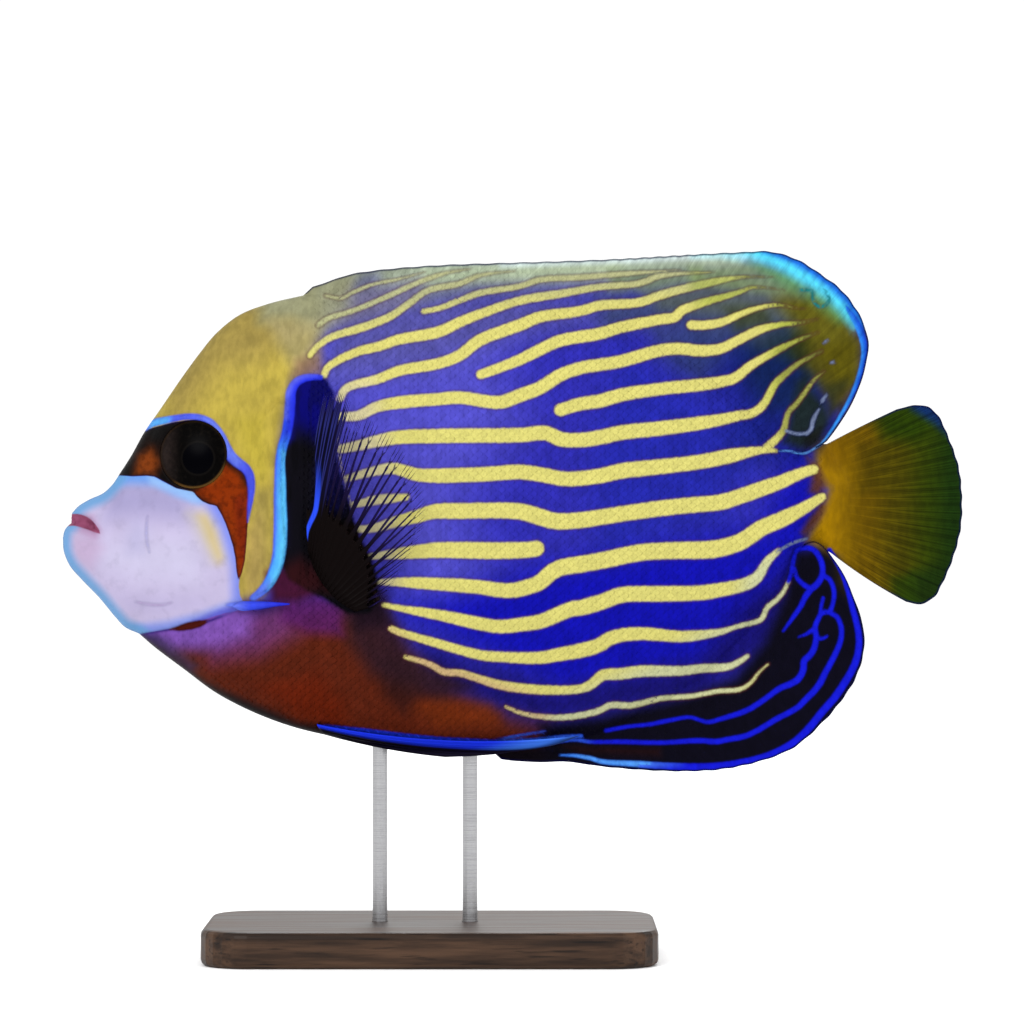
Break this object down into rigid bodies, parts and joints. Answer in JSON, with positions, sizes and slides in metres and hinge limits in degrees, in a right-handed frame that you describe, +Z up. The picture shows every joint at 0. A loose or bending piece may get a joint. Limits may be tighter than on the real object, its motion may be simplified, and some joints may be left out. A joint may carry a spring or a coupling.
{
  "type": "emperor angelfish",
  "caption": "Life-size adult emperor angelfish, deep and flat-sided, with spread fins and striped flanks, held level by short rods over a plain flat display base.",
  "frame": {"origin": "on the floor, under the middle of the fish's length, in its middle plane", "axes": "+Z up; the fish faces -X, its left side faces -Y, and Y is square to its flat sides"},
  "size_m": [0.2998, 0.084, 0.2354],
  "materials": {
    "skin": "moist scaly skin, satin to glossy, with fine scale relief; royal blue with pale yellow stripes, yellow head, black mask and shoulder, pale muzzle, red-brown belly",
    "fin": "satin ribbed membrane with raised rays, striped like the flank or blue, olive and black, clear between the rays of the pectoral fins",
    "cheek_spine": "smooth glossy bright blue bone",
    "eye": "wet, mirror smooth, near black",
    "stand_base": "satin dark stained wood, fine grain, eased edges",
    "stand_rod": "fine brushed stainless rod"
  },
  "bodies": {
    "root": {"head": "skin", "torso": "skin", "tail_stalk": "skin", "gill_cover_left": "skin", "gill_cover_right": "skin", "dorsal_fin": "fin", "anal_fin": "fin", "tail_fin": "fin", "pectoral_fin_left": "fin", "pectoral_fin_right": "fin", "pelvic_fin_left": "fin", "pelvic_fin_right": "fin", "cheek_spine_left": "cheek_spine", "cheek_spine_right": "cheek_spine", "eye_left": "eye", "eye_right": "eye", "stand_base": "stand_base", "stand_rod_front": "stand_rod", "stand_rod_rear": "stand_rod"}
  },
  "joints": []
}
